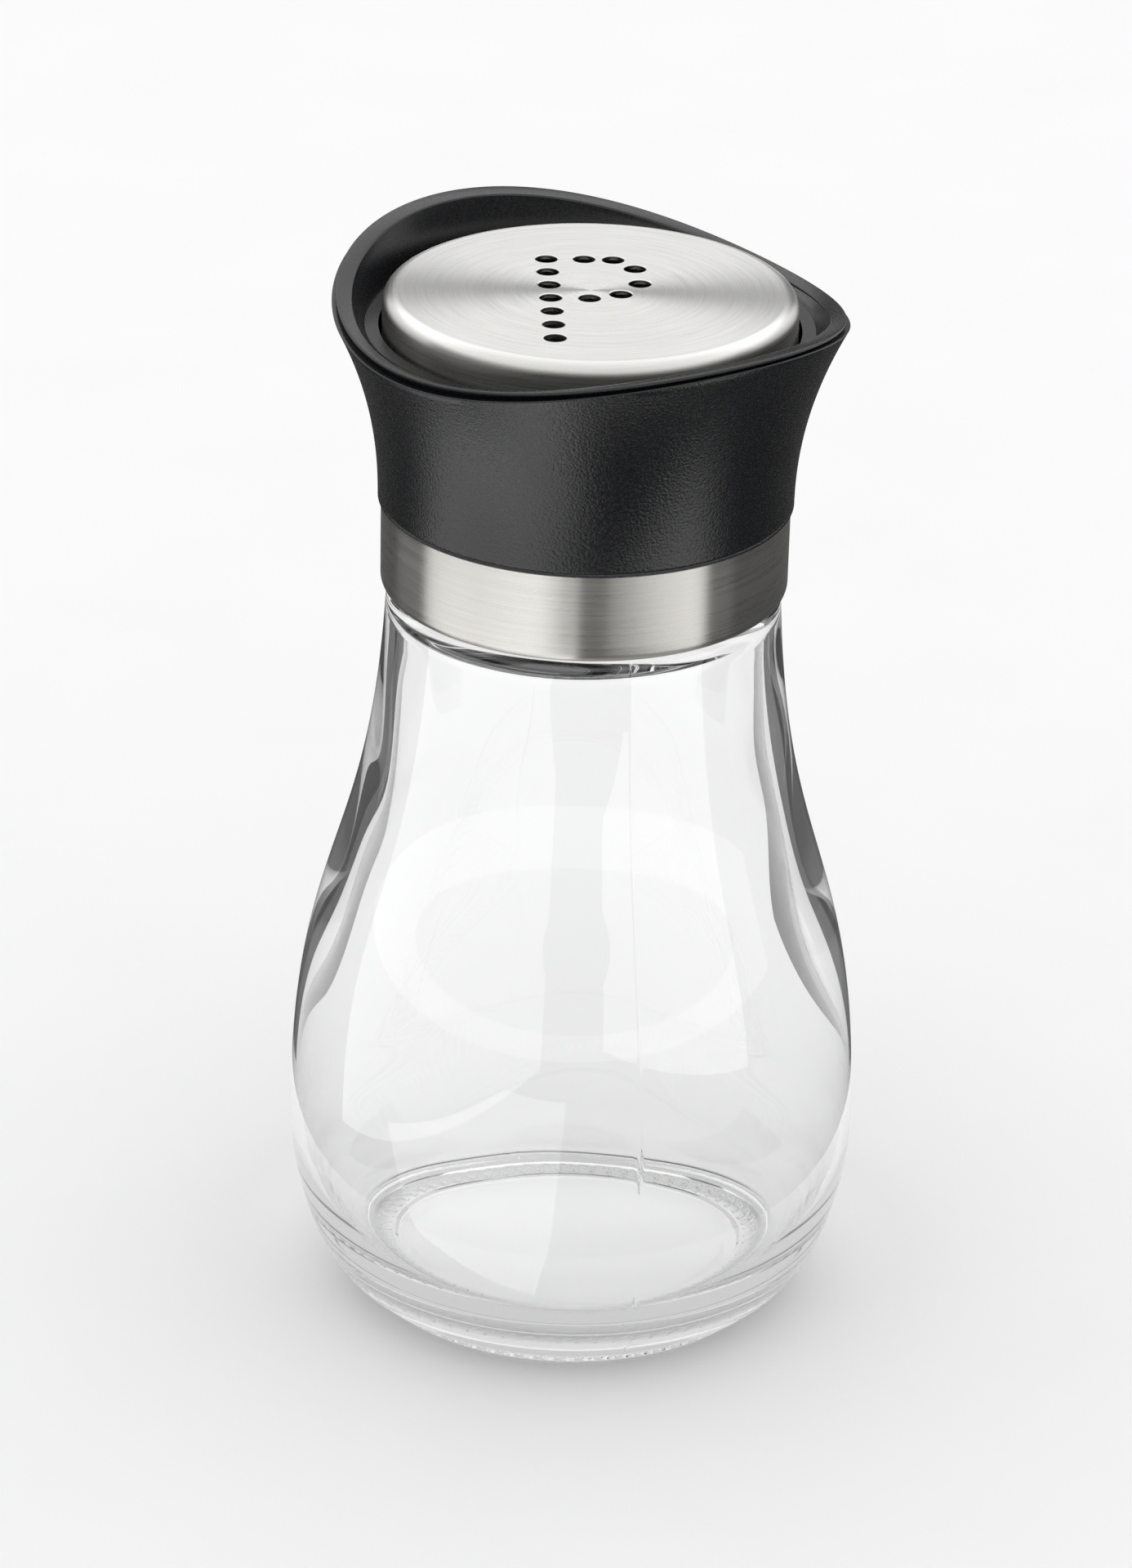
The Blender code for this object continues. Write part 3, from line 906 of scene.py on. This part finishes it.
def plastic_material(name, dark, light, roughness, grain_scale, grain_depth, grain_top=None):
    """Moulded plastic with a fine grain, full above grain_top only where the surface overhangs."""
    nodes = Nodes(bpy.data.materials.new(name))
    place = nodes.place()
    grain = nodes.noise(place, grain_scale)
    clouds = nodes.noise(place, PLASTIC_CLOUDS)
    spread = (roughness - ROUGHNESS_SPREAD, roughness + ROUGHNESS_SPREAD)
    nodes.set(
        Base_Color=nodes.tint(nodes.blend(grain, clouds), dark, light, *NOISE_SPAN),
        Roughness=nodes.ramp(grain, *spread, *NOISE_SPAN),
        Specular_IOR_Level=PLASTIC_SPECULAR,
    )
    if grain_top is not None:
        facing_up = nodes.split(nodes.add("ShaderNodeTexCoord").outputs["Normal"])[2]
        height = nodes.split(place)[2]
        overhang = nodes.ramp(facing_up, 1.0, LIP_GRAIN, *OVERHANG_SPAN)
        below = nodes.ramp(height, 1.0, 0.0, grain_top - GRAIN_TOP_FADE, grain_top)
        grain = nodes.math("MULTIPLY", grain, nodes.math("MAXIMUM", overhang, below))
    nodes.bump(grain, PLASTIC_BUMP, grain_depth)
    return nodes.owner


# Studio

def add_camera():
    camera = bpy.data.cameras.new("camera")
    camera.lens = CAMERA_LENS
    camera.sensor_width = CAMERA_SENSOR
    camera.clip_start, camera.clip_end = CAMERA_CLIP
    holder = bpy.data.objects.new("camera", camera)
    forward = Vector((0, math.cos(CAMERA_ELEVATION), -math.sin(CAMERA_ELEVATION)))
    holder.location = CAMERA_TARGET - CAMERA_DISTANCE * forward
    level = forward.to_track_quat("-Z", "Y").to_matrix().to_4x4()
    holder.rotation_euler = (level @ Matrix.Rotation(CAMERA_ROLL, 4, "Z")).to_euler()
    bpy.context.scene.collection.objects.link(holder)
    bpy.context.scene.camera = holder


def add_world():
    """White all round; mirrors see a wide lit ceiling, paler sides behind, and a dim room low down."""
    world = bpy.data.worlds.new("studio")
    bpy.context.scene.world = world
    nodes = Nodes(world, "Background")
    x, y, z = nodes.split(nodes.add("ShaderNodeTexCoord").outputs["Generated"])
    beside = nodes.step(nodes.math("ABSOLUTE", x), ROOM_SIDE_FROM, ROOM_SIDE_FULL)
    behind = nodes.step(y, 0.0, ROOM_BACK_FULL)
    sides = nodes.math("MULTIPLY", nodes.math("MULTIPLY", beside, behind), ROOM_SIDE_SHARE)
    bright = nodes.math("MAXIMUM", nodes.step(z, ROOM_DIM_BELOW, ROOM_BRIGHT_ABOVE), sides)
    added = nodes.math("MULTIPLY", bright, ROOM_TOP_LIGHT - ROOM_LOW_LIGHT)
    raised = nodes.math("ADD", added, ROOM_LOW_LIGHT)
    zenith = nodes.step(z, ROOM_FADE_FROM, ROOM_FADE_FULL)
    faded = nodes.math("MULTIPLY", zenith, ROOM_TOP_LIGHT - ROOM_ZENITH_LIGHT)
    missing = nodes.math("SUBTRACT", ROOM_LIGHT, nodes.math("SUBTRACT", raised, faded))
    path = nodes.add("ShaderNodeLightPath").outputs
    reflected = nodes.math("SUBTRACT", path["Is Glossy Ray"], path["Is Transmission Ray"])
    mirrored = nodes.math("MULTIPLY", nodes.math("MAXIMUM", reflected, 0.0), missing)
    nodes.set(Color=WHITE, Strength=nodes.math("SUBTRACT", ROOM_LIGHT, mirrored))


def add_panel(name, place, target, size, brightness):
    """A soft panel that shows in steel and gloss; brightness 1 looks as bright as white paper does."""
    lamp = bpy.data.lights.new(name, "AREA")
    lamp.shape = "RECTANGLE"
    lamp.size, lamp.size_y = size
    lamp.energy = brightness * math.pi * size[0] * size[1]
    holder = bpy.data.objects.new(name, lamp)
    holder.location = place
    holder.rotation_euler = (Vector(target) - Vector(place)).to_track_quat("-Z", "Y").to_euler()
    holder.visible_camera = False
    holder.visible_diffuse = False
    holder.visible_transmission = False
    bpy.context.scene.collection.objects.link(holder)


def add_stage_piece(name, shape, dark, light):
    """A matt grey surface of the studio."""
    mesh = bpy.data.meshes.new(name)
    shape.to_mesh(mesh)
    shape.free()
    nodes = Nodes(bpy.data.materials.new(name + "_finish"))
    clouds = nodes.noise(nodes.place(), STAGE_CLOUDS)
    nodes.set(
        Base_Color=nodes.tint(clouds, [dark] * 3, [light] * 3, *NOISE_SPAN),
        Roughness=STAGE_ROUGHNESS,
        Specular_IOR_Level=0.0,
    )
    mesh.materials.append(nodes.owner)
    piece = bpy.data.objects.new(name, mesh)
    bpy.context.scene.collection.objects.link(piece)
    return piece, nodes


def add_floor():
    """The white table, with a painted glow under the foot and behind it, standing in for light the glass
    gathers.
    """
    shape = bmesh.new()
    rings = add_rings(shape, even_angles(STAGE_STEPS), [(radius, 0) for radius in TABLE_RADII])
    skin(shape, rings)
    cap_ring(shape, rings[0], 0)
    _, nodes = add_stage_piece("floor", shape, *TABLE_SHADES)
    place = nodes.place()
    measure = nodes.add("ShaderNodeVectorMath", operation="LENGTH")
    nodes.give(measure.inputs[0], place)
    away = measure.outputs["Value"]
    # Painted light: the table glows under the foot and, fainter, beside and behind it
    under = nodes.ramp(away, TABLE_GLOW - RING_GLOW, 0.0, BEARING_INSIDE, FOOT_RADIUS)
    beside = nodes.ramp(away, RING_GLOW, 0.0, FOOT_RADIUS, RING_GLOW_RADIUS)
    behind = nodes.ramp(nodes.split(place)[1], 0.0, 1.0, -RING_GLOW_BEHIND, RING_GLOW_BEHIND)
    glow = nodes.math("ADD", under, nodes.math("MULTIPLY", beside, behind))
    nodes.set(Emission_Color=WHITE, Emission_Strength=glow)


def make_flag(name, shape, shade, seen_through_glass):
    """A dark card that shows either through the glass or in reflections, and nowhere else."""
    flag, _ = add_stage_piece(name, shape, *(share * shade for share in CARD_SHADES))
    flag.visible_camera = False
    flag.visible_shadow = False
    flag.visible_diffuse = False
    flag.visible_glossy = not seen_through_glass
    flag.visible_transmission = seen_through_glass


def add_flag(name, corner, length, height, shade, seen_through_glass):
    """An upright card that runs back from its near lower corner."""
    shape = bmesh.new()
    along, up = Vector((0, length, 0)), Vector((0, 0, height))
    corners = [Vector(corner) + turn for turn in (Vector(), along, along + up, up)]
    shape.faces.new([shape.verts.new(point) for point in corners])
    make_flag(name, shape, shade, seen_through_glass)


def add_dark_cloth():
    """Black cloth on the table round the shaker, seen in reflections only."""
    shape = bmesh.new()
    outline = [(radius, CLOTH_HEIGHT) for radius in CLOTH_RADII]
    skin(shape, add_rings(shape, even_angles(STAGE_STEPS), outline))
    make_flag("dark_floor", shape, CLOTH_SHADE, False)


def add_cards():
    """Bright and dark cards on both sides, as the steel, the collar and the glass show them."""
    add_panel(
        "left_card",
        place=(-0.08, -0.1925, 0.0425),
        target=(0, -0.1925, 0.0425),
        size=(0.375, 0.085),
        brightness=1.55,
    )
    add_panel(
        "left_floor_card",
        place=(-0.048, -0.12, 0.001),
        target=(-0.048, -0.12, 1),
        size=(0.084, 0.16),
        brightness=1.6,
    )
    add_panel(
        "right_card",
        place=(0.09, -0.2315, 0.0525),
        target=(0, -0.2315, 0.0525),
        size=(0.377, 0.065),
        brightness=1.7,
    )
    add_dark_cloth()
    in_reflections = dict(height=0.105, shade=0.12, seen_through_glass=False)
    add_flag("left_dark", corner=(-0.07, 0.02, 0.0005), length=0.25, **in_reflections)
    add_flag("right_dark", corner=(0.07, -0.018, 0.0005), length=0.29, **in_reflections)
    in_glass = dict(height=0.07, seen_through_glass=True)
    add_flag("left_flag", corner=(-0.04, 0.019, 0.021), length=0.02, shade=0.12, **in_glass)
    add_flag("left_side_flag", corner=(-0.04, 0.0115, 0.021), length=0.0075, shade=0.3, **in_glass)
    add_flag("right_flag", corner=(0.04, 0.026, 0.021), length=0.03, shade=0.12, **in_glass)
    add_flag("right_side_flag", corner=(0.04, 0.014, 0.021), length=0.012, shade=0.4, **in_glass)


add_camera()
add_world()
add_floor()
add_cards()

black_plastic = plastic_material(
    "black_plastic",
    dark=(0.0034, 0.0038, 0.005),
    light=(0.006, 0.0066, 0.008),
    roughness=0.27,
    grain_scale=3600.0,
    grain_depth=0.12 * MM,
    grain_top=GRAIN_TOP,
)
liner_plastic = plastic_material(
    "liner_plastic",
    dark=(0.012, 0.012, 0.013),
    light=(0.02, 0.02, 0.021),
    roughness=0.45,
    grain_scale=3000.0,
    grain_depth=0.01 * MM,
)
white_silicone = plastic_material(
    "white_silicone",
    dark=(0.76, 0.76, 0.74),
    light=(0.82, 0.82, 0.80),
    roughness=0.6,
    grain_scale=2500.0,
    grain_depth=0.01 * MM,
)

make_jar(glass_material())
make_steel_cap(steel_material())
make_collar(black_plastic)

for node_name, finish in (("threaded_liner", liner_plastic), ("seal_ring", white_silicone)):
    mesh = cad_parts[node_name].data
    mesh.materials.clear()
    mesh.materials.append(finish)

bpy.context.scene.view_settings.view_transform = "Standard"
